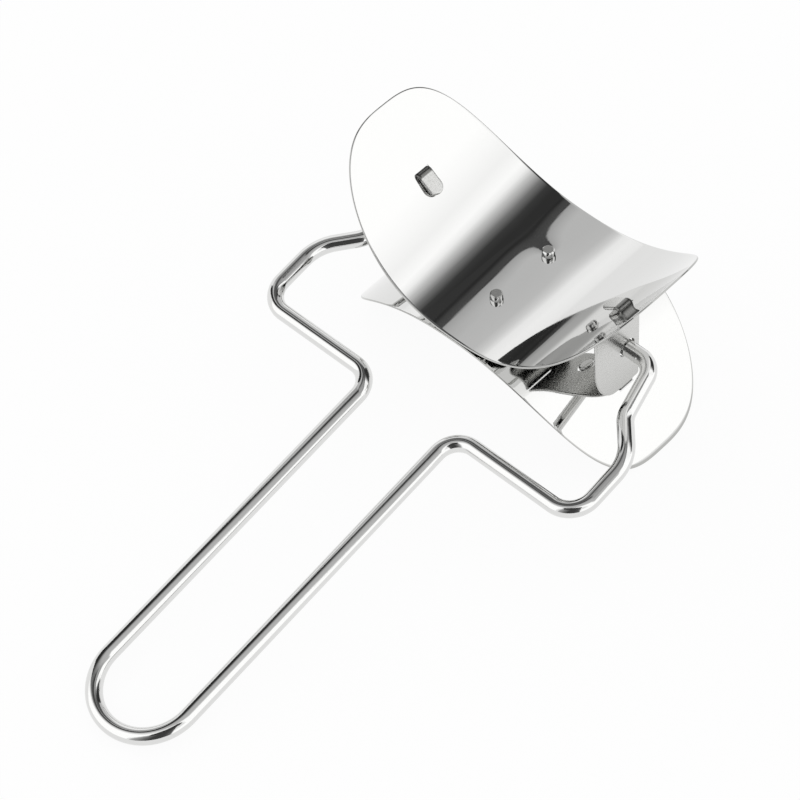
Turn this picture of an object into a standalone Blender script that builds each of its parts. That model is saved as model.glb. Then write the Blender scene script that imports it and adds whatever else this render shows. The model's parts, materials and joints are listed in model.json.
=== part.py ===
"""Rolling cutter for rounds of dough: two trough-shaped blades that spin between the hooked ends of a wire handle.

X runs along the roller's axis, the handle reaches towards -Y, and the tool stands on Z = 0 as on a table,
on the tips of its lower blade and the end of its wire loop. All sizes are in metres.
"""
import math

import bmesh
import bpy
from mathutils import Matrix, Vector

# Blades: the oval blank as seen from above, and how far its two ends rise from the middle
CUT_DIAMETER = 0.085
BLADE_WIDTH = 0.0487
BLADE_RISE = 0.0279
BLADE_SHEET = 0.0005
OUTLINE_POWER = 3.06
TROUGH_POWER = 2.39

# End plates: sheet strips that carry the wire hooks and hold the blades apart
PLATE_FACE_SPACING = 0.0634
PLATE_SHEET = 0.0008
PLATE_WIDE_SIDE = 0.0106
PLATE_NARROW_SIDE = 0.0043
PLATE_CORNER_WIDTH = 0.0074
PLATE_CORNER_HEIGHT = 0.0135
PLATE_HOLE = 0.005
TONGUE_WIDTH = 0.0043
TONGUE_FLAT = 0.0058
TONGUE_BEND_RADIUS = 0.0004
TONGUE_LIFT = 0.0003
TONGUE_SPRING_BACK = math.radians(8)

# Rivets through both blades
RIVET_SPACING = 0.0178
RIVET_SHANK = 0.002
RIVET_HEAD = 0.0034
RIVET_HEAD_HEIGHT = 0.001

# Wire handle, measured on the wire's centre line
WIRE_DIAMETER = 0.004
LOOP_REACH = 0.14
LEG_SPACING = 0.0249
SHOULDER_REACH = 0.0404
SHOULDER_BEND = 0.0063
NECK_BEND = 0.0059
ARM_SPACING = 0.0962
JOG_OUTER_REACH = 0.0221
JOG_INNER_SPACING = 0.0802
JOG_INNER_REACH = 0.0134
JOG_BEND = 0.008
HOOK_SPACING = 0.0744
HOOK_BEND = 0.003
HOOK_TIP_SPACING = 0.052

# Fits
SEAT_GAP = 0.0003
ROLLER_SIDE_SHIFT = -0.0026

# Facets
BLADE_STATIONS = 96
TURNED_SIDES = 24
BEND_STEPS = 10
WIRE_QUARTER_STEPS = 4
ARC_STEP = math.radians(12)

WIRE_RADIUS = WIRE_DIAMETER / 2
BLADE_REACH = CUT_DIAMETER / 2
SHEET_MIDDLE = (SEAT_GAP + BLADE_SHEET) / 2


def trough_height(x):
    """Height of the upper blade's sheet middle above the roller's axis."""
    return SHEET_MIDDLE + BLADE_RISE * (abs(x) / BLADE_REACH) ** TROUGH_POWER


def trough_slope(x):
    """Angle at which the blade climbs at a distance x from its middle."""
    steepness = BLADE_RISE * TROUGH_POWER / BLADE_REACH
    return math.atan(steepness * (abs(x) / BLADE_REACH) ** (TROUGH_POWER - 1))


TIP_HALF_EDGE = BLADE_SHEET / 2 * math.cos(trough_slope(BLADE_REACH))
AXIS_HEIGHT = trough_height(BLADE_REACH) + TIP_HALF_EDGE
HANDLE_TILT = math.asin((AXIS_HEIGHT - WIRE_RADIUS) / LOOP_REACH)
HANDLE_LENGTH = LOOP_REACH * math.cos(HANDLE_TILT) + WIRE_RADIUS
AXIS_FORWARD = (HANDLE_LENGTH - BLADE_WIDTH / 2) / 2


def clear_scene():
    for existing in list(bpy.data.objects):
        bpy.data.objects.remove(existing, do_unlink=True)


def steel(name, colour, roughness):
    material = bpy.data.materials.new(name)
    material.use_nodes = True
    shader = material.node_tree.nodes["Principled BSDF"]
    shader.inputs["Base Color"].default_value = (*colour, 1.0)
    shader.inputs["Metallic"].default_value = 1.0
    shader.inputs["Roughness"].default_value = roughness
    return material


def add_object(name, data, material, parent):
    piece = bpy.data.objects.new(name, data)
    bpy.context.collection.objects.link(piece)
    if material:
        data.materials.append(material)
    piece.parent = parent
    return piece


def mesh_from(name, build):
    """A mesh filled by the given bmesh builder, with its faces turned outwards."""
    mesh = bpy.data.meshes.new(name)
    shape = bmesh.new()
    build(shape)
    bmesh.ops.recalc_face_normals(shape, faces=shape.faces)
    shape.to_mesh(mesh)
    shape.free()
    return mesh


def add_cutter(name, build, parent):
    cutter = add_object(name, mesh_from(name, build), None, parent)
    cutter.hide_render = True
    cutter.display_type = "WIRE"
    return cutter


def cut(piece, cutter):
    boolean = piece.modifiers.new(cutter.name, "BOOLEAN")
    boolean.operation = "DIFFERENCE"
    boolean.solver = "EXACT"
    boolean.object = cutter


def thicken(piece, sheet):
    solidify = piece.modifiers.new("sheet", "SOLIDIFY")
    solidify.thickness = sheet
    solidify.offset = 0.0
    solidify.use_even_offset = True


def shade_round(mesh, angle):
    mesh.shade_smooth()
    mesh.set_sharp_from_angle(angle=angle)


def ladder(shape, rungs):
    """Join rungs, each a left and a right point, into a strip of faces, and return its first and last rung."""
    pairs = [(shape.verts.new(left), shape.verts.new(right)) for left, right in rungs]
    for (a, b), (c, d) in zip(pairs, pairs[1:]):
        shape.faces.new((a, c, d, b))
    return pairs[0], pairs[-1]


def blade_sheet(shape):
    """The oval blank bent along X only, so every line across it stays straight and level."""
    rungs = []
    for i in range(1, BLADE_STATIONS):
        turn = math.pi * i / BLADE_STATIONS
        along = abs(math.cos(turn)) ** (2 / OUTLINE_POWER)
        x = math.copysign(BLADE_REACH * along, math.cos(turn))
        half = BLADE_WIDTH / 2 * math.sin(turn) ** (2 / OUTLINE_POWER)
        z = trough_height(x)
        rungs.append(((x, -half, z), (x, half, z)))
    first, last = ladder(shape, rungs)
    tip_height = trough_height(BLADE_REACH)
    for x, rung in ((BLADE_REACH, first), (-BLADE_REACH, last)):
        tip = shape.verts.new((x, 0.0, tip_height))
        shape.faces.new((tip, *rung))


def box(shape, centre, size):
    placed = Matrix.Translation(centre) @ Matrix.Diagonal((*size, 1.0))
    bmesh.ops.create_cube(shape, size=1.0, matrix=placed)


def rod(shape, centre, diameter, length, turn):
    """A closed cylinder with its middle at centre; turn is the rotation of its axis away from Z."""
    placed = Matrix.Translation(centre) @ turn
    radius = diameter / 2
    bmesh.ops.create_cone(shape, cap_ends=True, segments=TURNED_SIDES, radius1=radius, radius2=radius,
                          depth=length, matrix=placed)


PLATE_MIDDLE = (PLATE_FACE_SPACING - PLATE_SHEET) / 2
SLOT_OUTER = PLATE_FACE_SPACING / 2 + SEAT_GAP
TONGUE_HEIGHT = BLADE_SHEET / 2 + TONGUE_LIFT + PLATE_SHEET / 2


def tongue_path():
    """Bend of a folded tongue in the XZ plane, and the direction in which its flat end runs on.

    The tongue rises through the slot, turns over towards the middle and then follows the sheet below it,
    less the angle by which it springs back from the fold.
    """
    radius = TONGUE_BEND_RADIUS + PLATE_SHEET / 2
    centre_x = PLATE_MIDDLE - radius
    slope = trough_slope(centre_x)
    centre_z = trough_height(centre_x) + (TONGUE_HEIGHT - radius) / math.cos(slope)
    lay = slope - TONGUE_SPRING_BACK
    turns = [(math.pi / 2 + lay) * i / BEND_STEPS for i in range(BEND_STEPS + 1)]
    bend = [Vector((centre_x + radius * math.cos(turn), centre_z + radius * math.sin(turn))) for turn in turns]
    downhill = Vector((-math.cos(lay), -math.sin(lay)))
    return bend, downhill


BEND_POINTS, TONGUE_DIRECTION = tongue_path()
BEND_END = BEND_POINTS[-1]
TONGUE_TIP = BEND_END + TONGUE_FLAT * TONGUE_DIRECTION
PLATE_INNER_FACE = PLATE_MIDDLE - PLATE_SHEET / 2
SLOT_INNER = PLATE_INNER_FACE - TONGUE_BEND_RADIUS
BLADE_UNDERSIDE = BLADE_SHEET / 2 / math.cos(trough_slope(PLATE_INNER_FACE))
PLATE_TOP = trough_height(PLATE_INNER_FACE) - BLADE_UNDERSIDE - SEAT_GAP


def blade_cutters(parent):
    """Slots for the four tongues and holes for the two rivets, shared by both blades."""
    def slots(shape):
        length = SLOT_OUTER - SLOT_INNER
        width = TONGUE_WIDTH + 2 * SEAT_GAP
        for side in (-1, 1):
            middle = side * (SLOT_OUTER + SLOT_INNER) / 2
            box(shape, (middle, 0.0, 0.0), (length, width, 2 * BLADE_RISE))

    def rivet_holes(shape):
        for side in (-1, 1):
            rod(shape, (0.0, side * RIVET_SPACING / 2, 0.0), RIVET_SHANK + 2 * SEAT_GAP, BLADE_RISE,
                Matrix.Identity(4))

    return [add_cutter("tongue_slots", slots, parent), add_cutter("rivet_holes", rivet_holes, parent)]


def add_blade(name, turned_over, cutters, parent):
    mesh = mesh_from(name, blade_sheet)
    shade_round(mesh, math.radians(30))
    blade = add_object(name, mesh, steel("mirror_steel_" + name, (0.80, 0.80, 0.81), 0.06), parent)
    if turned_over:
        blade.rotation_euler.x = math.pi
    thicken(blade, BLADE_SHEET)
    for cutter in cutters:
        cut(blade, cutter)
    return blade


def rounded_corner(edge, inward, top, direction):
    """Quarter of an ellipse from the plate's long edge to its end edge."""
    points = []
    for i in range(BEND_STEPS + 1):
        turn = math.pi / 2 * i / BEND_STEPS
        across = edge + inward * PLATE_CORNER_WIDTH * (1 - math.cos(turn))
        up = top - direction * PLATE_CORNER_HEIGHT * (1 - math.sin(turn))
        points.append((across, up))
    return points


def plate_sheet(shape):
    """Flat strip with one deeply rounded corner, and a folded tongue on its upper and lower edge."""
    half_tongue = TONGUE_WIDTH / 2
    outline = [(-PLATE_WIDE_SIDE, PLATE_TOP)]
    outline += rounded_corner(-PLATE_WIDE_SIDE, 1, -PLATE_TOP, -1)
    lower_root = len(outline)
    outline += [(-half_tongue, -PLATE_TOP), (half_tongue, -PLATE_TOP)]
    outline += [(PLATE_NARROW_SIDE, -PLATE_TOP), (PLATE_NARROW_SIDE, PLATE_TOP)]
    upper_root = len(outline)
    outline += [(half_tongue, PLATE_TOP), (-half_tongue, PLATE_TOP)]
    corners = [shape.verts.new((PLATE_MIDDLE, y, z)) for y, z in outline]
    shape.faces.new(corners)
    fold_tongue(shape, corners[lower_root:lower_root + 2], -1)
    fold_tongue(shape, corners[upper_root:upper_root + 2][::-1], 1)


def fold_tongue(shape, root, side):
    """Continue the plate's edge through the bend and along the flat to a half-round end."""
    half = TONGUE_WIDTH / 2
    rungs = [(point, half) for point in BEND_POINTS]
    round_start = TONGUE_FLAT - half
    for i in range(BEND_STEPS):
        turn = math.pi / 2 * i / BEND_STEPS
        reach = round_start + half * math.sin(turn)
        rungs.append((BEND_END + reach * TONGUE_DIRECTION, half * math.cos(turn)))
    previous = root
    for point, width in rungs:
        pair = [shape.verts.new((point.x, w, side * point.y)) for w in (-width, width)]
        shape.faces.new((previous[0], previous[1], pair[1], pair[0]))
        previous = pair
    tip = shape.verts.new((TONGUE_TIP.x, 0.0, side * TONGUE_TIP.y))
    shape.faces.new((previous[0], previous[1], tip))


def add_end_plate(name, turn, hole, parent):
    mesh = mesh_from(name, plate_sheet)
    shade_round(mesh, math.radians(30))
    plate = add_object(name, mesh, steel("mill_finish_steel_" + name, (0.62, 0.62, 0.63), 0.3), parent)
    plate.rotation_euler.z = turn
    thicken(plate, PLATE_SHEET)
    cut(plate, hole)
    return plate


def hook_hole(shape):
    rod(shape, (0.0, 0.0, 0.0), PLATE_HOLE, CUT_DIAMETER, Matrix.Rotation(math.pi / 2, 4, "Y"))


def rivet_profile():
    """Half section of a rivet, from the foot of its lower head to the top of its upper head."""
    seat = SHEET_MIDDLE + BLADE_SHEET / 2 + SEAT_GAP
    top = seat + RIVET_HEAD_HEIGHT
    chamfer = RIVET_HEAD / 12
    head = RIVET_HEAD / 2
    upper = [(RIVET_SHANK / 2, seat), (head, seat), (head, top - chamfer), (head - chamfer, top)]
    lower = [(r, -z) for r, z in reversed(upper)]
    return lower + upper


def rivet_body(shape):
    """The rivet's half section turned about Z, closed by a flat disc at each end."""
    rings = []
    for radius, z in rivet_profile():
        level = Matrix.Translation((0.0, 0.0, z))
        ring = bmesh.ops.create_circle(shape, segments=TURNED_SIDES, radius=radius, matrix=level)
        rings.append(ring["verts"])
    for low, high in zip(rings, rings[1:]):
        for i in range(TURNED_SIDES):
            j = (i + 1) % TURNED_SIDES
            shape.faces.new((low[i], low[j], high[j], high[i]))
    shape.faces.new(rings[0])
    shape.faces.new(rings[-1])


def add_rivet(name, y, parent):
    mesh = mesh_from(name, rivet_body)
    shade_round(mesh, math.radians(40))
    rivet = add_object(name, mesh, steel("turned_steel_" + name, (0.66, 0.66, 0.66), 0.25), parent)
    rivet.location.y = y
    return rivet


def rounded_path(corners):
    """Points along straight runs with an arc of the given radius at each inner corner."""
    points = [Vector(corners[0][0])]
    for (before, _), (corner, radius), (after, _) in zip(corners, corners[1:], corners[2:]):
        corner = Vector(corner)
        back = (Vector(before) - corner).normalized()
        ahead = (Vector(after) - corner).normalized()
        opening = back.angle(ahead)
        tangent = radius / math.tan(opening / 2)
        centre = corner + (back + ahead).normalized() * radius / math.sin(opening / 2)
        start = corner + back * tangent - centre
        end = corner + ahead * tangent - centre
        sweep = math.pi - opening
        steps = max(3, math.ceil(sweep / ARC_STEP))
        for i in range(steps + 1):
            part = sweep * i / steps
            points.append(centre + (start * math.sin(sweep - part) + end * math.sin(part)) / math.sin(sweep))
    points.append(Vector(corners[-1][0]))
    return points


def wire_path():
    """Centre line of the whole wire in its own plane: X across, -Y towards the hand, axle ends on Y = 0."""
    leg = LEG_SPACING / 2
    arm = ARM_SPACING / 2
    side = rounded_path([
        ((HOOK_TIP_SPACING / 2, 0.0), 0.0),
        ((HOOK_SPACING / 2, 0.0), HOOK_BEND),
        ((JOG_INNER_SPACING / 2, -JOG_INNER_REACH), JOG_BEND),
        ((arm, -JOG_OUTER_REACH), JOG_BEND),
        ((arm, -SHOULDER_REACH), SHOULDER_BEND),
        ((leg, -SHOULDER_REACH), NECK_BEND),
        ((leg, leg - LOOP_REACH), 0.0),
    ])
    steps = math.ceil(math.pi / ARC_STEP)
    loop = [Vector((leg * math.cos(math.pi * i / steps), leg - LOOP_REACH - leg * math.sin(math.pi * i / steps)))
            for i in range(1, steps)]
    return side + loop + [Vector((-p.x, p.y)) for p in reversed(side)]


def add_wire_handle(parent):
    curve = bpy.data.curves.new("wire_handle", "CURVE")
    curve.dimensions = "3D"
    curve.bevel_depth = WIRE_RADIUS
    curve.bevel_resolution = WIRE_QUARTER_STEPS
    curve.use_fill_caps = True
    path = wire_path()
    spline = curve.splines.new("POLY")
    spline.points.add(len(path) - 1)
    for point, place in zip(spline.points, path):
        point.co = (place.x, place.y, 0.0, 1.0)
    spline.use_smooth = True
    handle = add_object("wire_handle", curve, steel("bright_wire", (0.72, 0.72, 0.73), 0.12), parent)
    handle.rotation_euler.x = HANDLE_TILT
    return handle


def add_pivot(name, location, parent=None):
    pivot = bpy.data.objects.new(name, None)
    bpy.context.collection.objects.link(pivot)
    pivot.parent = parent
    pivot.location = location
    return pivot


def build():
    clear_scene()
    axle = add_pivot("axle_line", (0.0, AXIS_FORWARD, AXIS_HEIGHT))
    roller = add_pivot("roller_axis", (ROLLER_SIDE_SHIFT, 0.0, 0.0), axle)
    add_wire_handle(axle)
    cutters = blade_cutters(roller)
    add_blade("upper_blade", False, cutters, roller)
    add_blade("lower_blade", True, cutters, roller)
    hole = add_cutter("hook_holes", hook_hole, roller)
    add_end_plate("right_end_plate", 0.0, hole, roller)
    add_end_plate("left_end_plate", math.pi, hole, roller)
    add_rivet("front_rivet", -RIVET_SPACING / 2, roller)
    add_rivet("rear_rivet", RIVET_SPACING / 2, roller)


build()
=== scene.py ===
"""Looks of the rolling dough-round cutter: blades, wire handle, end plates and rivets in a plain studio."""
import json
import math

import bpy
import numpy as np
from bpy.props import FloatProperty, FloatVectorProperty, PointerProperty
from bpy.types import Operator, Panel, PropertyGroup
from mathutils import Matrix, Vector


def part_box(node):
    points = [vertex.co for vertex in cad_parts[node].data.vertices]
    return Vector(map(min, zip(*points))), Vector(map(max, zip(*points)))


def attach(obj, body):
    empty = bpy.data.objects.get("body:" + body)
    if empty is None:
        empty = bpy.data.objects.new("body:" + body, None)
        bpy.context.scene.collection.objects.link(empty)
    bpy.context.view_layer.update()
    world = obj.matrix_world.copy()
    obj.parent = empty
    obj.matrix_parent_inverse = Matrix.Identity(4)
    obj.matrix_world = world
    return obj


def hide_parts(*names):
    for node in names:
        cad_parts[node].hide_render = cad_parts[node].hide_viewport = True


bl_info = {
    "name": "Rolling dough cutter",
    "version": (1, 0, 0),
    "blender": (4, 5, 0),
    "location": "View3D > Sidebar > Cutter",
    "description": "Builds the finished surfaces of a rolling dough-round cutter around its solid model",
    "category": "Object",
}

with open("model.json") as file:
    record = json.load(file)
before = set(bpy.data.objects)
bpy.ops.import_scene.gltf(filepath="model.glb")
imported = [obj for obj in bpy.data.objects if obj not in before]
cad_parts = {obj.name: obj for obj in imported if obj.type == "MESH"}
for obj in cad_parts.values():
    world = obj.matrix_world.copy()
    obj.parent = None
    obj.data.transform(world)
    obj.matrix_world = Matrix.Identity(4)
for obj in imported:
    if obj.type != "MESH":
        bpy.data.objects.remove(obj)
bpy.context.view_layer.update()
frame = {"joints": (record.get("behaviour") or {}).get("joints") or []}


def box_of(node):
    """Lowest and highest corner of a solid, as two arrays."""
    low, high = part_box(node)
    return np.array(low), np.array(high)


AXLE = np.array(frame["joints"][0]["pos_m"], float)
BLADE_LOW, BLADE_HIGH = box_of("upper_blade")
PLATE_LOW, PLATE_HIGH = box_of("right_end_plate")
WIRE_LOW, WIRE_HIGH = box_of("wire_handle")
ROLLER_CENTRE = np.array([(BLADE_LOW[0] + BLADE_HIGH[0]) / 2, AXLE[1], AXLE[2]])
WIRE_DIAMETER = 0.004
WIRE_RADIUS = WIRE_DIAMETER / 2
# Angle between faces that stays a sharp edge, and points along a rounded corner
SHARP_ANGLE = math.radians(35)
ARC_STEPS = 40
# Camera sensor, share of the floor that is evenly white, height and levels of light of the cloths
SENSOR_WIDTH_MM = 36.0
EVEN_SHARE = 0.92
CLOTH_HEIGHT = 0.42
LIT = 1.36
DARK = 0.05


def linear(hex_colour):
    """Linear RGB of an sRGB hex colour such as #D8D8D6."""
    channels = np.array([int(hex_colour[i:i + 2], 16) for i in (1, 3, 5)]) / 255
    return tuple(np.where(channels <= 0.04045, channels / 12.92, ((channels + 0.055) / 1.055) ** 2.4))


def length(name, description, default):
    """Setting for a length in metres."""
    return FloatProperty(name=name, description=description, default=default, unit="LENGTH", precision=5)


def angle(name, description, degrees):
    """Setting for an angle, given in degrees and kept in radians."""
    return FloatProperty(name=name, description=description, default=math.radians(degrees), unit="ROTATION")


def colour(name, description, hex_colour):
    """Setting for a colour, given as an sRGB hex colour and kept as linear RGB."""
    return FloatVectorProperty(name=name, description=description, subtype="COLOR", size=3, min=0.0, max=1.0,
                               default=linear(hex_colour))


class CutterBlade(PropertyGroup):
    """Sizes and colours of the two trough blades"""
    reach: length("Half length", "From the middle of the blade to its tip", 0.0425)
    width: length("Width", "Widest place of the blank", BLADE_HIGH[1] - BLADE_LOW[1])
    rise: length("Rise", "How far the tips stand above the middle", 0.0279)
    sheet: length("Sheet", "Thickness of the sheet", 0.0005)
    back_gap: length("Back gap", "Gap between the backs of the two blades", 0.0003)
    outline_power: FloatProperty(name="Outline power", description="Squareness of the blank", default=3.06)
    trough_power: FloatProperty(name="Trough power", description="How late the trough turns up",
                                default=2.39)
    dimple: length("Dimple", "How far the rear rivet pulls the upper sheet down", 0.00026)
    dimple_size: length("Dimple size", "Reach of the pull round the rear rivet", 0.003)
    tint: colour("Mirror sheet", "Colour of the polished sheet", "#DEDEDD")
    rim_tint: colour("Sheared rim", "Colour of the dull cut edge", "#B8B8B6")


class CutterPlate(PropertyGroup):
    """Sizes and colours of the two folded end plates"""
    sheet: length("Sheet", "Thickness of the end plates", 0.0008)
    face_spacing: length("Spacing", "Between the outer faces of the two end plates", 0.0634)
    wide_side: length("Wide side", "From the hole's middle to the far long edge", AXLE[1] - PLATE_LOW[1])
    narrow_side: length("Narrow side", "From the hole's middle to the near long edge",
                        PLATE_HIGH[1] - AXLE[1])
    corner_width: length("Deep corner width", "Deep rounded corner, across the plate", 0.0074)
    corner_height: length("Deep corner height", "Deep rounded corner, along the plate", 0.0135)
    corner: length("Corner", "Radius of the three small corners", 0.0008)
    hole: length("Hole", "Diameter of the hole for the wire hook", 0.005)
    tongue_width: length("Tongue width", "Width of the folded tongues", 0.0043)
    tongue_flat: length("Tongue flat", "Length of the tongue past its fold", 0.0058)
    fold_radius: length("Fold radius", "Inner radius of the fold", 0.0004)
    spring_back: angle("Spring back", "Angle by which the tongue stands off the blade", 8.0)
    lift: length("Lift", "Clear height of the fold over the blade", 0.0003)
    seat: length("Seat", "Gap between the plate's edge and the blade", 0.0001)
    slot_play: length("Slot play", "Room round the tongue in its slot", 0.0002)
    tint: colour("Mill finish", "Colour of the grey mill-finish sheet", "#CECECC")
    # Painted shade: the folds get this darker colour in place of their dark reflection
    fold_shade_tint: colour("Worked bend", "Colour of the stretched skin on the folds", "#7A7A78")


class CutterRivet(PropertyGroup):
    """Sizes and colours of the two rivets"""
    spacing: length("Spacing", "Between the two rivets", 0.0178)
    shank: length("Shank", "Diameter of the rivet inside the blades", 0.002)
    hole: length("Hole", "Diameter of the rivet holes in the blades", 0.0026)
    head: length("Head", "Diameter of the heads near their foot", 0.0032)
    top: length("Top", "Diameter of the heads near their top", 0.003)
    chamfer: length("Chamfer", "Size of the chamfer round the tops and feet", 0.0003)
    height: length("Height", "Height of the heads", 0.00175)
    tint: colour("Rivet steel", "Colour of the set rivets", "#D0D0CF")
    top_tint: colour("Cut tops", "Colour of the dull cut tops", "#B2B2B0")


class CutterWire(PropertyGroup):
    """Course, bends and colour of the wire handle"""
    reach: length("Loop reach", "From the axle to the end of the loop, on the wire's centre line",
                  math.hypot(AXLE[1] - WIRE_LOW[1] - WIRE_RADIUS, AXLE[2] - WIRE_RADIUS))
    leg_spacing: length("Legs", "Between the centre lines of the grip's two legs", 0.0249)
    shoulder_reach: length("Shoulder", "From the axle to the yoke's cross runs", 0.0404)
    shoulder_bend: length("Shoulder bend", "Bend radius at the yoke's outer corners", 0.0063)
    neck_bend: length("Neck bend", "Bend radius where the legs meet the yoke", 0.0059)
    arm_spacing: length("Arms", "Between the centre lines of the yoke's arms",
                        WIRE_HIGH[0] - WIRE_LOW[0] - WIRE_DIAMETER)
    jog_outer: length("Jog, outer", "From the axle to the outer corner of an arm's jog", 0.02227)
    jog_inner: length("Jog, inner", "From the axle to the inner corner of an arm's jog", 0.01402)
    jog_spacing: length("Jogs", "Between the inner corners of the two jogs", 0.08076)
    jog_inner_bend: length("Jog bend, inner", "Bend radius at the inner corner of a jog", 0.00605)
    jog_outer_bend: length("Jog bend, outer", "Bend radius at the outer corner of a jog", 0.01138)
    hook_spacing: length("Hooks", "Between the corners of the two hooks", 0.07384)
    hook_bend: length("Hook bend", "Bend radius of the hooks that carry the roller", 0.00478)
    tip_spacing: length("Hook tips", "Between the two ends of the wire", 0.0556)
    tint: colour("Bright wire", "Colour of the polished wire", "#DEDEDD")


class CutterStage(PropertyGroup):
    """Place and lens of the camera, and the floor"""
    azimuth: angle("Azimuth", "Direction of view; 0 looks along +Y", 47.317)
    elevation: angle("Elevation", "Height of the camera as an angle", 51.511)
    roll: angle("Roll", "Turn of the camera about its own axis", -4.803)
    distance: length("Distance", "From the camera to the point it looks at", 0.6825)
    aim: FloatVectorProperty(name="Aim", description="Point in the middle of the picture", subtype="XYZ",
                             unit="LENGTH", default=(-0.00846, 0.02148, 0.01241))
    lens: FloatProperty(name="Lens", description="Focal length in millimetres on a 36 mm sensor",
                        default=133.47)
    floor_size: length("Floor size", "Side of the square floor", 6.0)
    floor_tint: colour("Floor", "Colour of the plain floor", "#FEFEFE")


def add_node(tree, kind, settings=None, **inputs):
    """Add a node, set its attributes, and set or link its inputs by name, or by number as in _0."""
    node = tree.nodes.new(kind)
    for key, value in (settings or {}).items():
        setattr(node, key, value)
    for key, value in inputs.items():
        socket = node.inputs[int(key[1:])] if key[0] == "_" else node.inputs[key.replace("_", " ")]
        if isinstance(value, bpy.types.NodeSocket):
            tree.links.new(value, socket)
        else:
            socket.default_value = value
    return node


def steel(name, tint):
    """A bare metal: its material, node tree, shader and the Object coordinates for its pattern."""
    material = bpy.data.materials.new(name)
    material.use_nodes = True
    tree = material.node_tree
    shader = tree.nodes["Principled BSDF"]
    shader.inputs["Base Color"].default_value = (*tint, 1.0)
    shader.inputs["Metallic"].default_value = 1.0
    place = add_node(tree, "ShaderNodeTexCoord").outputs["Object"]
    return material, tree, shader, place


def finish_steel(tree, shader, height, gloss_source, gloss, strength, depth, limits=(0.3, 0.7)):
    """Drive roughness between two values as one pattern climbs between two limits; bump up another."""
    rough = add_node(tree, "ShaderNodeMapRange", Value=gloss_source, From_Min=limits[0], From_Max=limits[1],
                     To_Min=gloss[0], To_Max=gloss[1])
    bump = add_node(tree, "ShaderNodeBump", Height=height, Strength=strength, Distance=depth)
    tree.links.new(rough.outputs[0], shader.inputs["Roughness"])
    tree.links.new(bump.outputs[0], shader.inputs["Normal"])


def tint_where(tree, shader, value, low, high, below, above):
    """Blend the base colour from one tint to another as a value climbs between two limits."""
    share = add_node(tree, "ShaderNodeMapRange", Value=value, From_Min=low, From_Max=high)
    blend = add_node(tree, "ShaderNodeMix", {"data_type": "RGBA"}, _0=share.outputs[0],
                     _6=(*below, 1.0), _7=(*above, 1.0))
    tree.links.new(blend.outputs[2], shader.inputs["Base Color"])


def folded_place(tree, place, scale):
    """Object coordinates from the roller's centre, scaled and with their signs dropped."""
    shift = tuple(-ROLLER_CENTRE * scale)
    moved = add_node(tree, "ShaderNodeMapping", Vector=place, Location=shift, Scale=tuple(scale))
    return add_node(tree, "ShaderNodeVectorMath", {"operation": "ABSOLUTE"}, _0=moved.outputs[0]).outputs[0]


def mirror_sheet(blade):
    """Mirror-polished stainless sheet: clear reflections, faint rolling streaks and a dull sheared rim.

    Streaks stand 0.5 mm apart along X and run on for 40 mm along Y; cloudy marks are 12 mm wide. The rim is
    where |x / reach|^power + |y / half width|^power comes near 1.
    """
    material, tree, shader, place = steel("mirror_polished_stainless_sheet", blade.tint)
    streaks_per_metre = (2000.0, 25.0, 25.0)
    drawn = add_node(tree, "ShaderNodeMapping", Vector=place, Scale=streaks_per_metre)
    streaks = add_node(tree, "ShaderNodeTexNoise", Vector=drawn.outputs[0], Scale=1.0, Detail=3.0)
    clouds = add_node(tree, "ShaderNodeTexNoise", Vector=place, Scale=80.0, Detail=3.0)
    finish_steel(tree, shader, streaks.outputs["Fac"], clouds.outputs["Fac"], gloss=(0.02, 0.06),
                 strength=0.012, depth=0.0001)
    share = folded_place(tree, place, np.array([1 / blade.reach, 2 / blade.width, 0.0]))
    raised = add_node(tree, "ShaderNodeVectorMath", {"operation": "POWER"}, _0=share,
                      _1=(blade.outline_power,) * 3)
    out = add_node(tree, "ShaderNodeVectorMath", {"operation": "DOT_PRODUCT"}, _0=raised.outputs[0],
                   _1=(1.0, 1.0, 0.0))
    tint_where(tree, shader, out.outputs["Value"], low=0.975, high=0.985, below=blade.tint,
               above=blade.rim_tint)
    return material


def bright_wire(tint):
    """Bright-drawn stainless wire, tumbled: near-mirror gloss with clouds 1.5 mm wide."""
    material, tree, shader, place = steel("bright_drawn_stainless_wire", tint)
    clouds = add_node(tree, "ShaderNodeTexNoise", Vector=place, Scale=700.0, Detail=4.0)
    finish_steel(tree, shader, clouds.outputs["Fac"], clouds.outputs["Fac"], gloss=(0.04, 0.10),
                 strength=0.03, depth=0.0002)
    return material


def plate_finish_with_fold_shade(plate, blade):
    """Cold-rolled stainless sheet left unpolished: grey and soft, with a grain 0.4 mm wide.

    The two folds carry painted shade: a darker colour that stands in for their dark reflection; it ends
    where the flat tongue starts.
    """
    material, tree, shader, place = steel("mill_finish_stainless_sheet", plate.tint)
    grain = add_node(tree, "ShaderNodeTexNoise", Vector=place, Scale=2500.0, Detail=3.0)
    finish_steel(tree, shader, grain.outputs["Fac"], grain.outputs["Fac"], gloss=(0.18, 0.34),
                 strength=0.04, depth=0.0002)
    centre_x, centre_z, radius, _ = fold_axis(plate, blade)
    upright = folded_place(tree, place, np.array([1.0, 0.0, 1.0]))
    from_fold = add_node(tree, "ShaderNodeVectorMath", {"operation": "DISTANCE"}, _0=upright,
                         _1=(centre_x, 0.0, centre_z))
    skin = radius + plate.sheet / 2
    # Painted shade on the folds: the darker colour covers the fold arcs, inside the fold's outer radius, and
    # gives way to the sheet's colour on the flat tongue and the upright plate
    tint_where(tree, shader, from_fold.outputs["Value"], low=1.03 * skin, high=1.10 * skin,
               below=plate.fold_shade_tint, above=plate.tint)
    return material


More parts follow.
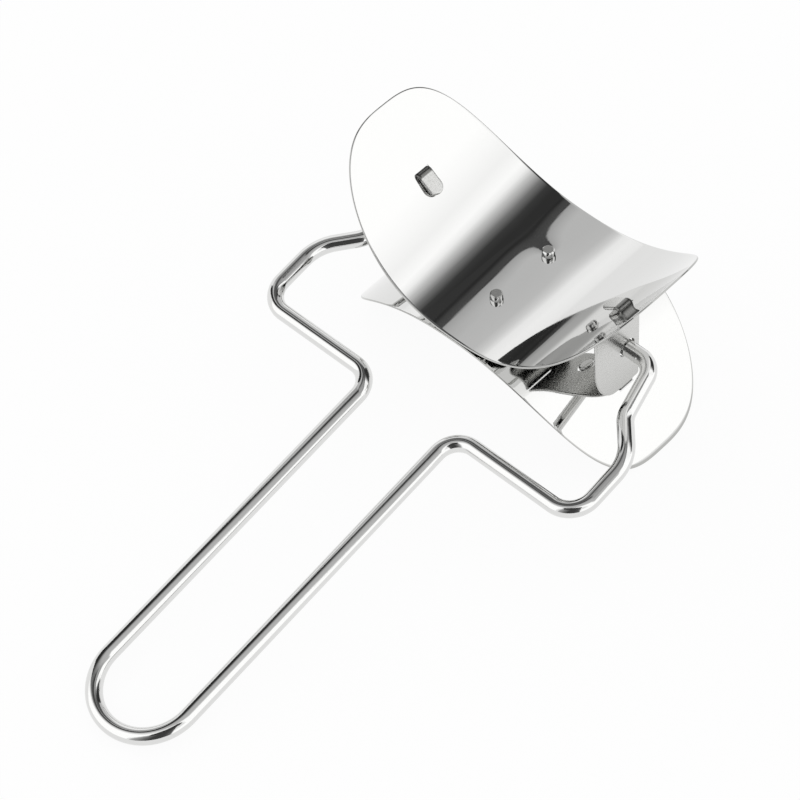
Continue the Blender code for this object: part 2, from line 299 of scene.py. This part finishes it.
def rivet_steel(rivet, top):
    """Rivet steel straight from the setting tool: bright walls, dull cut tops, dents 0.5 mm wide."""
    material, tree, shader, place = steel("set_rivet_steel", rivet.tint)
    marks = add_node(tree, "ShaderNodeTexNoise", Vector=place, Scale=2000.0, Detail=2.0)
    upright = folded_place(tree, place, np.array([0.0, 0.0, 1.0]))
    up = add_node(tree, "ShaderNodeVectorMath", {"operation": "LENGTH"}, _0=upright).outputs["Value"]
    edge = top - rivet.chamfer / 4
    finish_steel(tree, shader, marks.outputs["Fac"], up, gloss=(0.06, 0.36), strength=0.06, depth=0.0002,
                 limits=(edge, top))
    tint_where(tree, shader, up, low=edge, high=top, below=rivet.tint, above=rivet.top_tint)
    return material


def grid_faces(rows, columns, close_rows):
    """Four-sided faces between the neighbours of a grid of points whose columns close on themselves."""
    index = np.arange(rows * columns).reshape(rows, columns)
    index = np.hstack([index, index[:, :1]])
    if close_rows:
        index = np.vstack([index, index[:1]])
    corners = (index[:-1, :-1], index[:-1, 1:], index[1:, 1:], index[1:, :-1])
    return np.stack(corners, axis=-1).reshape(-1, 4)


def fan_faces(ring, middle):
    """Three-sided faces from a closed ring of points to one point in its middle."""
    return np.stack([ring, np.roll(ring, -1), np.full(len(ring), middle)], axis=-1)


def add_surface(name, points, close_rows=False):
    """Object of a closed surface from a grid of points, rows by columns, whose columns close on themselves.

    Its rows close too, or else a fan closes the first and the last row. The sign of the enclosed volume
    tells which way the faces have to turn.
    """
    rows, columns = points.shape[:2]
    vertices = points.reshape(-1, 3)
    quads = grid_faces(rows, columns, close_rows)
    fans = np.empty((0, 3), int)
    if not close_rows:
        count = rows * columns
        ring = np.arange(columns)
        vertices = np.vstack([vertices, points[0].mean(axis=0), points[-1].mean(axis=0)])
        fans = np.vstack([fan_faces(ring[::-1], count), fan_faces(ring + count - columns, count + 1)])
    a, b, c, d = (vertices[quads[:, k]] - vertices[0] for k in range(4))
    volume = np.sum(a * np.cross(b, c)) + np.sum(a * np.cross(c, d))
    if volume < 0:
        quads, fans = quads[:, ::-1], fans[:, ::-1]
    mesh = bpy.data.meshes.new(name)
    mesh.from_pydata(vertices.tolist(), [], quads.tolist() + fans.tolist())
    shade(mesh)
    piece = bpy.data.objects.new(name, mesh)
    bpy.context.scene.collection.objects.link(piece)
    return piece


def shade(mesh):
    """Shade a mesh smooth, except across its sharp edges."""
    mesh.shade_smooth()
    mesh.set_sharp_from_angle(angle=SHARP_ANGLE)


def cut_openings(piece, cutters):
    """Cut closed shapes out of a piece, keep the result as its mesh and remove the cutting shapes."""
    for cutter in cutters:
        boolean = piece.modifiers.new(cutter.name, "BOOLEAN")
        boolean.operation = "DIFFERENCE"
        boolean.solver = "EXACT"
        boolean.object = cutter
    solid = piece.data
    evaluated = piece.evaluated_get(bpy.context.evaluated_depsgraph_get())
    piece.data = bpy.data.meshes.new_from_object(evaluated)
    piece.data.name = solid.name
    piece.modifiers.clear()
    bpy.data.meshes.remove(solid)
    for cutter in cutters:
        bpy.data.meshes.remove(cutter.data)
    shade(piece.data)


def finish_piece(piece, node, body, material):
    """Give a piece its finish, let it stand for a solid and move with that solid's body."""
    piece.data.materials.clear()
    piece.data.materials.append(material)
    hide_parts(node)
    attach(piece, body)


def trough_height(blade, x):
    """Height of the sheet's middle over the axis: its height at x = 0 plus rise times |x / reach|^power."""
    lowest = (blade.back_gap + blade.sheet) / 2
    return lowest + blade.rise * (np.abs(x) / blade.reach) ** blade.trough_power


def trough_slope(blade, x):
    """Angle of climb of the trough at x, negative on the side of negative x."""
    steepness = blade.rise * blade.trough_power / blade.reach
    return np.arctan(np.sign(x) * steepness * (np.abs(x) / blade.reach) ** (blade.trough_power - 1))


def even_steps(points, count):
    """A closed line of points, resampled to a number of points at equal distances along it."""
    closed = np.vstack([points, points[:1]])
    along = np.concatenate([[0.0], np.cumsum(np.linalg.norm(np.diff(closed, axis=0), axis=1))])
    wanted = np.linspace(0.0, along[-1], count, endpoint=False)
    return np.stack([np.interp(wanted, along, closed[:, k]) for k in range(2)], axis=-1)


def outward(points):
    """Outward unit normals of a closed line that runs anticlockwise in its plane."""
    along = np.roll(points, -1, axis=0) - np.roll(points, 1, axis=0)
    normal = np.stack([along[:, 1], -along[:, 0]], axis=-1)
    return normal / np.linalg.norm(normal, axis=1, keepdims=True)


def sheet_section(first_share, rings, sheet, edge_steps=6):
    """Path round a sheet's section: share of the way out, inset from the rim, offset from the middle.

    It runs out along the upper face, round the half-round edge and back along the lower face.
    """
    half = sheet / 2
    level = np.full(rings, half)
    face = np.stack([np.linspace(first_share, 1.0, rings), level, level], axis=-1)
    turn = np.linspace(math.pi / 2, -math.pi / 2, edge_steps + 2)[1:-1]
    edge = np.stack([np.ones(edge_steps), half * (1 - np.cos(turn)), half * np.sin(turn)], axis=-1)
    section = np.vstack([face, edge, face[::-1] * (1, 1, -1)])
    return section.T[:, :, None]


def superellipse(half_length, half_width, power, count, finer=12):
    """Closed line |x / half length|^power + |y / half width|^power = 1 in even steps, from a finer one."""
    turn = np.linspace(0.0, 2 * math.pi, finer * count, endpoint=False)
    across, along = np.sin(turn), np.cos(turn)
    x = half_length * np.sign(along) * np.abs(along) ** (2 / power)
    y = half_width * np.sign(across) * np.abs(across) ** (2 / power)
    return even_steps(np.stack([x, y], axis=-1), count)


def dimple_depth(blade, rivet, distance):
    """Depth of the dimple: level under the rear rivet's head, then falling as exp(-way past it / size)."""
    return blade.dimple * np.exp(-np.maximum(distance - rivet.head / 2, 0.0) / blade.dimple_size)


def blade_points(blade, columns=720, rings=60):
    """The superellipse blank, filled towards its middle and bent along x only.

    A point keeps its x and y, rises to the trough's height and is set off along the sheet's normal.
    """
    blank = superellipse(blade.reach, blade.width / 2, blade.outline_power, columns)
    innermost = 0.02
    share, inset, offset = sheet_section(innermost, rings, blade.sheet)
    flat = share[..., None] * (blank - inset[..., None] * outward(blank))
    x, y = flat[..., 0], flat[..., 1]
    slope = trough_slope(blade, x)
    height = trough_height(blade, x)
    return np.stack([x - offset * np.sin(slope), y, height + offset * np.cos(slope)], axis=-1)


def turned(profile, sides=64):
    """Half section of radius and height rows, turned about the upright axis."""
    around = np.linspace(0.0, 2 * math.pi, sides, endpoint=False)
    radius, height = np.array(profile).T[:, :, None]
    return np.stack([radius * np.cos(around), radius * np.sin(around), height + 0 * around], axis=-1)


def slot_points(blade, plate):
    """A block square to the sheet, as a punched slot is, from the plate's inner face to just past its fold.

    Its place along and off the sheet is turned by the trough's slope at the fold. It reaches three sheets
    to either side of the sheet's middle, so that it cuts right through.
    """
    centre_x, centre_z, radius, _ = fold_axis(plate, blade)
    slope = trough_slope(blade, centre_x)
    middle_z = trough_height(blade, centre_x)
    inner = plate.fold_radius / math.cos(slope) - blade.sheet / 2 * math.tan(slope) - plate.slot_play
    outer = (centre_z - middle_z) * math.sin(slope) + radius + plate.sheet / 2 + plate.slot_play
    half = plate.tongue_width / 2 + plate.slot_play
    along = np.array([inner, outer, outer, inner])
    off = 3 * blade.sheet * np.array([[-1.0], [1.0]])
    x = centre_x + along * math.cos(slope) - off * math.sin(slope)
    z = middle_z + along * math.sin(slope) + off * math.cos(slope)
    y = np.broadcast_to([-half, -half, half, half], x.shape)
    return np.stack([x, y, z], axis=-1)


def opening_cutters(blade, plate, rivet, sides):
    """Blocks for the two tongue slots and rods for the two rivet holes of the blade on the given sides."""
    slot = slot_points(blade, plate) * sides
    cutters = [add_surface("slot", ROLLER_CENTRE + slot * (side, 1, 1)) for side in (-1, 1)]
    rod = turned([(rivet.hole / 2, -blade.rise), (rivet.hole / 2, blade.rise)])
    for side in (-1, 1):
        cutters.append(add_surface("rivet_hole", ROLLER_CENTRE + (0.0, side * rivet.spacing / 2, 0.0) + rod))
    return cutters


def quarter(x, y, width, height, start):
    """Quarter of an ellipse inside a corner at x, y, anticlockwise from a start in quarter turns."""
    turn = (start + np.linspace(0.0, 1.0, ARC_STEPS)) * math.pi / 2
    centre = np.array([x - math.copysign(width, x), y - math.copysign(height, y)])
    return centre + np.stack([width * np.cos(turn), height * np.sin(turn)], axis=-1)


def plate_blank(plate, top, tip, count):
    """Closed outline of an end plate's flat blank: a strip with one deep corner and a tongue at each end."""
    half = plate.tongue_width / 2
    wide, narrow, small = -plate.wide_side, plate.narrow_side, plate.corner
    end = np.linspace(math.pi, 2 * math.pi, ARC_STEPS)
    lower_end = np.stack([half * np.cos(end), half * np.sin(end) + half - tip], axis=-1)
    outline = np.vstack([
        quarter(wide, -top, plate.corner_width, plate.corner_height, 2),
        (-half, -top), lower_end, (half, -top),
        quarter(narrow, -top, small, small, 3),
        quarter(narrow, top, small, small, 0),
        (half, top), -lower_end, (-half, top),
        quarter(wide, top, small, small, 1),
    ])
    return even_steps(outline, count)


def fold_axis(plate, blade):
    """Middle of the upper fold in the XZ plane, the radius of its middle line and the angle it turns."""
    middle = (plate.face_spacing - plate.sheet) / 2
    radius = plate.fold_radius + plate.sheet / 2
    centre_x = middle - radius
    slope = trough_slope(blade, centre_x)
    clear = blade.sheet / 2 + plate.lift + plate.sheet / 2
    centre_z = trough_height(blade, centre_x) + (clear - radius) / math.cos(slope)
    return centre_x, centre_z, radius, math.pi / 2 + slope - plate.spring_back


def fold(plate, blade, up):
    """Where a blank's height lands after folding: x, z, and the sheet's normal in the XZ plane.

    Below the fold the sheet stands upright; then it follows an arc over the blade, and then a straight line
    that falls with the blade less the spring back. The lower half mirrors the upper.
    """
    centre_x, centre_z, radius, sweep = fold_axis(plate, blade)
    past = np.abs(up) - centre_z
    turn = np.clip(past / radius, 0.0, sweep)
    run = np.maximum(past - radius * sweep, 0.0)
    rise = np.minimum(past, 0.0)
    x = centre_x + radius * np.cos(turn) - run * np.sin(turn)
    z = centre_z + rise + radius * np.sin(turn) + run * np.cos(turn)
    side = np.sign(up)
    return x, side * z, np.cos(turn), side * np.sin(turn)


def plate_points(plate, blade, columns=360, rings=110):
    """The blank of an end plate as rays from its hole to its outline, folded over at both ends."""
    inner_face = plate.face_spacing / 2 - plate.sheet
    thickness = blade.sheet / 2 / math.cos(trough_slope(blade, inner_face))
    top = trough_height(blade, inner_face) - thickness - plate.seat
    _, centre_z, radius, sweep = fold_axis(plate, blade)
    fold_end = centre_z + radius * sweep
    blank = plate_blank(plate, top, fold_end + plate.tongue_flat, columns)
    share, inset, offset = sheet_section(0.0, rings, plate.sheet)
    rim = blank - inset[..., None] * outward(blank)
    hole = plate.hole / 2 * blank / np.linalg.norm(blank, axis=1, keepdims=True)
    flat = hole + share[..., None] * (rim - hole)
    x, z, normal_x, normal_z = fold(plate, blade, flat[..., 1])
    return np.stack([x + offset * normal_x, flat[..., 0], z + offset * normal_z], axis=-1)


def rivet_points(rivet, seat, sunk):
    """Two slightly tapered posts, chamfered at top and foot, on a shank; turned about the upright axis.

    The upper post sits lower by the depth it is sunk.
    """
    top = seat + rivet.height
    upper = np.array([
        (rivet.shank / 2, seat),
        (rivet.head / 2 - rivet.chamfer / 2, seat),
        (rivet.head / 2, seat + rivet.chamfer),
        (rivet.top / 2, top - rivet.chamfer),
        (rivet.top / 2 - rivet.chamfer, top),
    ])
    return turned(np.vstack([upper[::-1] * (1, -1), upper - (0, sunk)]))


def rounded_path(corners, radii, step=math.radians(2), fewest=4):
    """Straight runs between corners in a plane, with an arc of the given radius at each inner corner.

    An arc's centre lies on the corner's bisector, radius / sin(half the opening) away from the corner.
    """
    corners = np.array(corners)
    runs = [corners[:1]]
    for before, corner, after, radius in zip(corners, corners[1:], corners[2:], radii):
        back = (before - corner) / np.linalg.norm(before - corner)
        ahead = (after - corner) / np.linalg.norm(after - corner)
        half = math.acos(back @ ahead) / 2
        bisector = (back + ahead) / np.linalg.norm(back + ahead)
        centre = corner + bisector * radius / math.sin(half)
        start = corner + back * radius / math.tan(half) - centre
        end = corner + ahead * radius / math.tan(half) - centre
        sweep = math.pi - 2 * half
        part = np.linspace(0.0, sweep, max(fewest, math.ceil(sweep / step)))[:, None]
        runs.append(centre + (start * np.sin(sweep - part) + end * np.sin(part)) / math.sin(sweep))
    return np.vstack([*runs, corners[-1:]])


def wire_path(wire, loop_steps=91):
    """Centre line of the wire in its own plane: across, and out from the axle towards the hand."""
    leg, arm = wire.leg_spacing / 2, wire.arm_spacing / 2
    loop_start = wire.reach - leg
    side = rounded_path(
        [(wire.tip_spacing / 2, 0.0), (wire.hook_spacing / 2, 0.0), (wire.jog_spacing / 2, wire.jog_inner),
         (arm, wire.jog_outer), (arm, wire.shoulder_reach), (leg, wire.shoulder_reach), (leg, loop_start)],
        [wire.hook_bend, wire.jog_inner_bend, wire.jog_outer_bend, wire.shoulder_bend, wire.neck_bend])
    turn = np.linspace(0.0, math.pi, loop_steps)[1:-1]
    loop = np.stack([leg * np.cos(turn), loop_start + leg * np.sin(turn)], axis=-1)
    return np.vstack([side, loop, side[::-1] * (-1, 1)])


def wire_points(wire, sides=40, end_steps=6):
    """A circle carried along the wire's centre line, drawn in by a small round at each cut end."""
    path = wire_path(wire)
    ahead = np.gradient(path, axis=0)
    ahead /= np.linalg.norm(ahead, axis=1, keepdims=True)
    rounding = WIRE_RADIUS / 5
    turn = np.linspace(0.0, math.pi / 2, end_steps)
    inset = rounding * (1 - np.cos(turn))[:, None]
    drawn_in = WIRE_RADIUS - rounding + rounding * np.sin(turn)
    line = np.vstack([path[0] + inset * ahead[0], path[1:-1], (path[-1] - inset * ahead[-1])[::-1]])
    tangent = np.vstack([np.tile(ahead[0], (end_steps, 1)), ahead[1:-1], np.tile(ahead[-1], (end_steps, 1))])
    radius = np.concatenate([drawn_in, np.full(len(path) - 2, WIRE_RADIUS), drawn_in[::-1]])[:, None]
    side = np.stack([tangent[:, 1], -tangent[:, 0]], axis=-1)
    around = np.linspace(0.0, 2 * math.pi, sides, endpoint=False)
    flat = line[:, None, :] + (radius * np.cos(around))[..., None] * side[:, None, :]
    off = radius * np.sin(around)
    tilt = math.asin((AXLE[2] - WIRE_RADIUS) / wire.reach)
    across, out = flat[..., 0], flat[..., 1]
    return AXLE + np.stack([across, off * math.sin(tilt) - out * math.cos(tilt),
                            -off * math.cos(tilt) - out * math.sin(tilt)], axis=-1)


class CUTTER_OT_wire_handle(Operator):
    """Sweep the bent wire that is grip, yoke and axle in one"""
    bl_idname = "cutter.wire_handle"
    bl_label = "Wire handle"

    def execute(self, context):
        wire = context.scene.cutter_wire
        piece = add_surface("bent_wire", wire_points(wire))
        finish_piece(piece, "wire_handle", "handle", bright_wire(wire.tint))
        return {"FINISHED"}


class CUTTER_OT_blades(Operator):
    """Form the two trough blades back to back and cut their slots and rivet holes"""
    bl_idname = "cutter.blades"
    bl_label = "Blades"

    def execute(self, context):
        blade = context.scene.cutter_blade
        rivet = context.scene.cutter_rivet
        material = mirror_sheet(blade)
        for node, sides in (("upper_blade", (1, 1, 1)), ("lower_blade", (1, -1, -1))):
            points = blade_points(blade) * sides
            if node == "upper_blade":
                from_rivet = np.hypot(points[..., 0], points[..., 1] - rivet.spacing / 2)
                points[..., 2] -= dimple_depth(blade, rivet, from_rivet)
            piece = add_surface(node + "_sheet", ROLLER_CENTRE + points)
            cut_openings(piece, opening_cutters(blade, context.scene.cutter_plate, rivet, sides))
            finish_piece(piece, node, "roller", material)
        return {"FINISHED"}


class CUTTER_OT_end_plates(Operator):
    """Fold the two end plates that carry the wire hooks"""
    bl_idname = "cutter.end_plates"
    bl_label = "End plates"

    def execute(self, context):
        plate = context.scene.cutter_plate
        blade = context.scene.cutter_blade
        material = plate_finish_with_fold_shade(plate, blade)
        points = plate_points(plate, blade)
        for node, sides in (("right_end_plate", (1, 1, 1)), ("left_end_plate", (-1, -1, 1))):
            piece = add_surface(node + "_sheet", ROLLER_CENTRE + points * sides, close_rows=True)
            finish_piece(piece, node, "roller", material)
        return {"FINISHED"}


class CUTTER_OT_rivets(Operator):
    """Set the two rivets that hold the blades together"""
    bl_idname = "cutter.rivets"
    bl_label = "Rivets"

    def execute(self, context):
        rivet = context.scene.cutter_rivet
        blade = context.scene.cutter_blade
        seat = blade.back_gap / 2 + blade.sheet
        material = rivet_steel(rivet, seat - blade.dimple + rivet.height)
        for node, side, sunk in (("front_rivet", -1, 0.0), ("rear_rivet", 1, blade.dimple)):
            place = ROLLER_CENTRE + (0.0, side * rivet.spacing / 2, 0.0)
            piece = add_surface(node + "_body", place + rivet_points(rivet, seat, sunk))
            finish_piece(piece, node, "roller", material)
        return {"FINISHED"}


def place_camera(scene, stage):
    """Camera at a distance from its aim, at an azimuth and elevation, turned by the roll."""
    azimuth, elevation, roll = stage.azimuth, stage.elevation, stage.roll
    right = Vector((math.cos(azimuth), math.sin(azimuth), 0.0))
    level = Vector((-math.sin(azimuth), math.cos(azimuth), 0.0))
    ahead = math.cos(elevation) * level - math.sin(elevation) * Vector((0.0, 0.0, 1.0))
    up = right.cross(ahead)
    across = math.cos(roll) * right + math.sin(roll) * up
    upright = math.cos(roll) * up - math.sin(roll) * right
    data = bpy.data.cameras.new("camera")
    data.lens = stage.lens
    data.sensor_width = SENSOR_WIDTH_MM
    data.clip_start = 0.01
    camera = bpy.data.objects.new("camera", data)
    scene.collection.objects.link(camera)
    turn = Matrix((across, upright, -ahead)).transposed().to_4x4()
    camera.matrix_world = Matrix.Translation(Vector(stage.aim) - stage.distance * ahead) @ turn
    scene.camera = camera


def add_panel(name, centre, across, along, material):
    """A flat four-sided stage object from its middle and its two half sides."""
    centre, across, along = Vector(centre), Vector(across), Vector(along)
    corners = [centre - across - along, centre + across - along,
               centre + across + along, centre - across + along]
    mesh = bpy.data.meshes.new(name)
    mesh.from_pydata(corners, [], [(0, 1, 2, 3)])
    mesh.materials.append(material)
    panel = bpy.data.objects.new(name, mesh)
    bpy.context.scene.collection.objects.link(panel)
    return panel


def empty_tree(owner):
    """The node tree of a material or world, cleared."""
    owner.use_nodes = True
    owner.node_tree.nodes.clear()
    return owner.node_tree


def seen_rays(tree):
    """1 for rays from the eye, from glossy surfaces and through clear ones, 0 for rays that light things."""
    path = add_node(tree, "ShaderNodeLightPath")
    direct = add_node(tree, "ShaderNodeMath", {"operation": "MAXIMUM"}, _0=path.outputs["Is Camera Ray"],
                      _1=path.outputs["Is Glossy Ray"])
    seen = add_node(tree, "ShaderNodeMath", {"operation": "MAXIMUM"}, _0=direct.outputs[0],
                    _1=path.outputs["Is Transmission Ray"])
    return seen.outputs[0]


def white_ground(tint):
    """Matt white card that looks evenly white and keeps the object's shadow, made faint."""
    material = bpy.data.materials.new("matt_white_card")
    tree = empty_tree(material)
    card = add_node(tree, "ShaderNodeBsdfDiffuse", Color=(*tint, 1.0))
    even = add_node(tree, "ShaderNodeEmission", Color=(*tint, 1.0), Strength=1.0)
    share = add_node(tree, "ShaderNodeMapRange", Value=seen_rays(tree), To_Max=EVEN_SHARE)
    ground = add_node(tree, "ShaderNodeMixShader", _0=share.outputs[0], _1=card.outputs[0],
                      _2=even.outputs[0])
    add_node(tree, "ShaderNodeOutputMaterial", Surface=ground.outputs[0])
    return material


def graded_cloth(name, stops, slant=0.0):
    """Lit cloth, its brightness set by stops of place and level along X less slant times Y."""
    material = bpy.data.materials.new(name)
    tree = empty_tree(material)
    low, high = stops[0][0], stops[-1][0]
    place = add_node(tree, "ShaderNodeTexCoord").outputs["Object"]
    along = add_node(tree, "ShaderNodeVectorMath", {"operation": "DOT_PRODUCT"}, _0=place,
                     _1=(1.0, -slant, 0.0))
    share = add_node(tree, "ShaderNodeMapRange", Value=along.outputs["Value"], From_Min=low, From_Max=high)
    ramp = add_node(tree, "ShaderNodeValToRGB", Fac=share.outputs[0])
    elements = ramp.color_ramp.elements
    while len(elements) < len(stops):
        elements.new(0.5)
    for element, (x, level) in zip(elements, stops):
        element.position = (x - low) / (high - low)
        element.color = (level, level, level, 1.0)
    light = add_node(tree, "ShaderNodeEmission", Color=ramp.outputs["Color"], Strength=1.0)
    add_node(tree, "ShaderNodeOutputMaterial", Surface=light.outputs[0])
    return material


def surround(scene):
    """White all round at strength 1, which both shows as the background and lights the object plainly."""
    world = bpy.data.worlds.new("white_tent")
    scene.world = world
    tree = empty_tree(world)
    light = add_node(tree, "ShaderNodeBackground", Color=(1.0, 1.0, 1.0, 1.0), Strength=1.0)
    add_node(tree, "ShaderNodeOutputWorld", Surface=light.outputs[0])


def hang_cloths():
    """Cloths that only the metal mirrors: graded ones overhead, others round it, one for the camera."""
    over_left = graded_cloth("cloth_over_roller_left", (
        (-1.60, 1.0), (-1.30, 1.08), (-0.72, 1.14), (-0.54, 1.08), (-0.44, 0.80), (-0.36, 0.65),
        (-0.25, 0.62)))
    over_middle = graded_cloth("cloth_over_roller_middle", (
        (-0.475, 0.62), (-0.450, 0.56), (-0.410, 0.455), (-0.404, 0.05), (-0.396, 0.078), (-0.372, 0.068),
        (-0.356, 0.03), (-0.348, 0.03), (-0.340, 0.044), (-0.240, 0.040)), slant=0.84)
    over_right = graded_cloth("cloth_over_roller_right", (
        (-0.34, 0.036), (-0.30, 0.053), (-0.26, 0.22), (-0.212, 0.71), (-0.18, 1.16), (-0.15, 1.32),
        (-0.085, 1.2), (0.0, 1.3), (0.08, LIT), (0.2, LIT)), slant=1.0)
    over_gap = graded_cloth("cloth_before_roller", (
        (-0.80, 0.62), (-0.50, 0.45), (-0.38, 0.42), (-0.32, 0.30), (-0.27, 0.08), (-0.20, 0.09),
        (-0.15, 0.14), (-0.06, 0.05), (0.0, 0.12), (0.06, 0.30), (0.20, 0.25), (0.28, 0.50),
        (0.36, 1.25), (0.80, LIT)))
    over_yoke = graded_cloth("cloth_over_yoke", (
        (-0.80, 0.62), (-0.70, 0.60), (-0.55, 0.42), (-0.45, 0.46), (-0.36, 0.42), (-0.27, 0.18),
        (-0.20, 0.09), (-0.13, 0.11), (-0.07, 0.36), (0.15, 0.48), (0.25, 0.40), (0.32, 0.60),
        (0.60, 0.62), (0.68, 0.75), (0.76, 1.30), (0.80, LIT)))
    over_neck = graded_cloth("cloth_over_neck", (
        (-1.0, 0.62), (-0.34, 0.62), (-0.25, 0.30), (-0.16, 0.04), (-0.08, 0.04), (-0.02, 0.30),
        (0.05, 0.50), (0.12, 0.58), (0.38, 0.62), (0.46, 0.85), (0.52, LIT), (0.9, LIT)), slant=2.0)
    over_grip = graded_cloth("cloth_over_grip", (
        (-0.9, 0.03), (-0.15, 0.03), (-0.09, 0.09), (-0.05, 0.20), (0.0, 0.36), (0.05, 0.50),
        (0.10, 0.57), (0.34, 0.60), (0.40, 0.85), (0.46, LIT), (1.1, LIT)), slant=2.0)
    lit = graded_cloth("lit_cloth", ((-1.0, LIT), (1.0, LIT)))
    dark = graded_cloth("dark_cloth", ((-1.0, DARK), (1.0, DARK)))
    standing = graded_cloth("standing_cloth", (
        (0.10, 0.60), (0.146, 0.45), (0.268, 0.20), (0.377, 0.06), (0.535, 0.06), (0.646, 0.12),
        (0.69, 0.20)))
    overhead = (
        ("roller_cloth_left", (-1.60, -0.25), (0.232, 1.20), over_left),
        ("roller_cloth_middle", (-0.25, -0.09), (0.232, 1.20), over_middle),
        ("roller_cloth_right", (-0.09, 0.80), (0.205, 1.20), over_right),
        ("gap_cloth_left", (-0.80, -0.09), (0.16, 0.232), over_gap),
        ("gap_cloth_right", (-0.09, 0.80), (0.16, 0.205), over_gap),
        ("yoke_cloth", (-0.80, 0.80), (0.06, 0.16), over_yoke),
        ("neck_cloth", (-0.80, 0.80), (0.012, 0.06), over_neck),
        ("grip_cloth", (-1.50, 0.80), (-0.16, 0.012), over_grip),
    )
    cloths = [
        add_panel(name, ((x0 + x1) / 2, (y0 + y1) / 2, CLOTH_HEIGHT), ((x1 - x0) / 2, 0.0, 0.0),
                  (0.0, (y1 - y0) / 2, 0.0), material)
        for name, (x0, x1), (y0, y1), material in overhead
    ]
    cloths += [
        add_panel("right_cloth", (0.8, 0.35, 0.21), (0.0, 0.85, 0.0), (0.0, 0.0, 0.21), lit),
        add_panel("front_cloth", (-0.335, -0.42, 0.25), (0.365, 0.0, 0.0), (0.0, 0.15, 0.23), lit),
        add_panel("camera_cloth", (0.19, -0.27, 0.52), (0.13, 0.12, 0.0), (-0.06, 0.065, 0.07), dark),
        add_panel("standing_cloth", (0.395, -0.64, 0.5), (0.295, 0.22, 0.0), (0.0, 0.0, 0.5), standing),
    ]
    for cloth in cloths:
        cloth.visible_camera = False
        cloth.visible_diffuse = False


class CUTTER_OT_stage(Operator):
    """Set the camera, the floor and the soft studio surroundings"""
    bl_idname = "cutter.stage"
    bl_label = "Studio"

    def execute(self, context):
        scene = context.scene
        stage = scene.cutter_stage
        scene.view_settings.view_transform = "Standard"
        place_camera(scene, stage)
        surround(scene)
        half = stage.floor_size / 2
        ground = white_ground(stage.floor_tint)
        add_panel("floor", (0.0, 0.0, 0.0), (half, 0.0, 0.0), (0.0, half, 0.0), ground)
        hang_cloths()
        return {"FINISHED"}


OPERATORS = (
    CUTTER_OT_wire_handle,
    CUTTER_OT_blades,
    CUTTER_OT_end_plates,
    CUTTER_OT_rivets,
    CUTTER_OT_stage,
)


class CUTTER_PT_sidebar(Panel):
    """Lists the steps that build the cutter"""
    bl_idname = "CUTTER_PT_sidebar"
    bl_label = "Rolling dough cutter"
    bl_space_type = "VIEW_3D"
    bl_region_type = "UI"
    bl_category = "Cutter"

    def draw(self, context):
        for operator in OPERATORS:
            self.layout.operator(operator.bl_idname)


SETTINGS = {
    "cutter_wire": CutterWire,
    "cutter_blade": CutterBlade,
    "cutter_plate": CutterPlate,
    "cutter_rivet": CutterRivet,
    "cutter_stage": CutterStage,
}


def register():
    """Register the settings, the steps and the panel, and give each scene its settings."""
    for cls in (*SETTINGS.values(), *OPERATORS, CUTTER_PT_sidebar):
        bpy.utils.register_class(cls)
    for name, cls in SETTINGS.items():
        setattr(bpy.types.Scene, name, PointerProperty(type=cls))


def unregister():
    """Undo register in the reverse order."""
    for name in SETTINGS:
        delattr(bpy.types.Scene, name)
    for cls in (CUTTER_PT_sidebar, *reversed(OPERATORS), *reversed(SETTINGS.values())):
        bpy.utils.unregister_class(cls)


def main():
    """Build the cutter and its stage."""
    register()
    bpy.ops.cutter.wire_handle()
    bpy.ops.cutter.blades()
    bpy.ops.cutter.end_plates()
    bpy.ops.cutter.rivets()
    bpy.ops.cutter.stage()


if __name__ == "__main__":
    main()
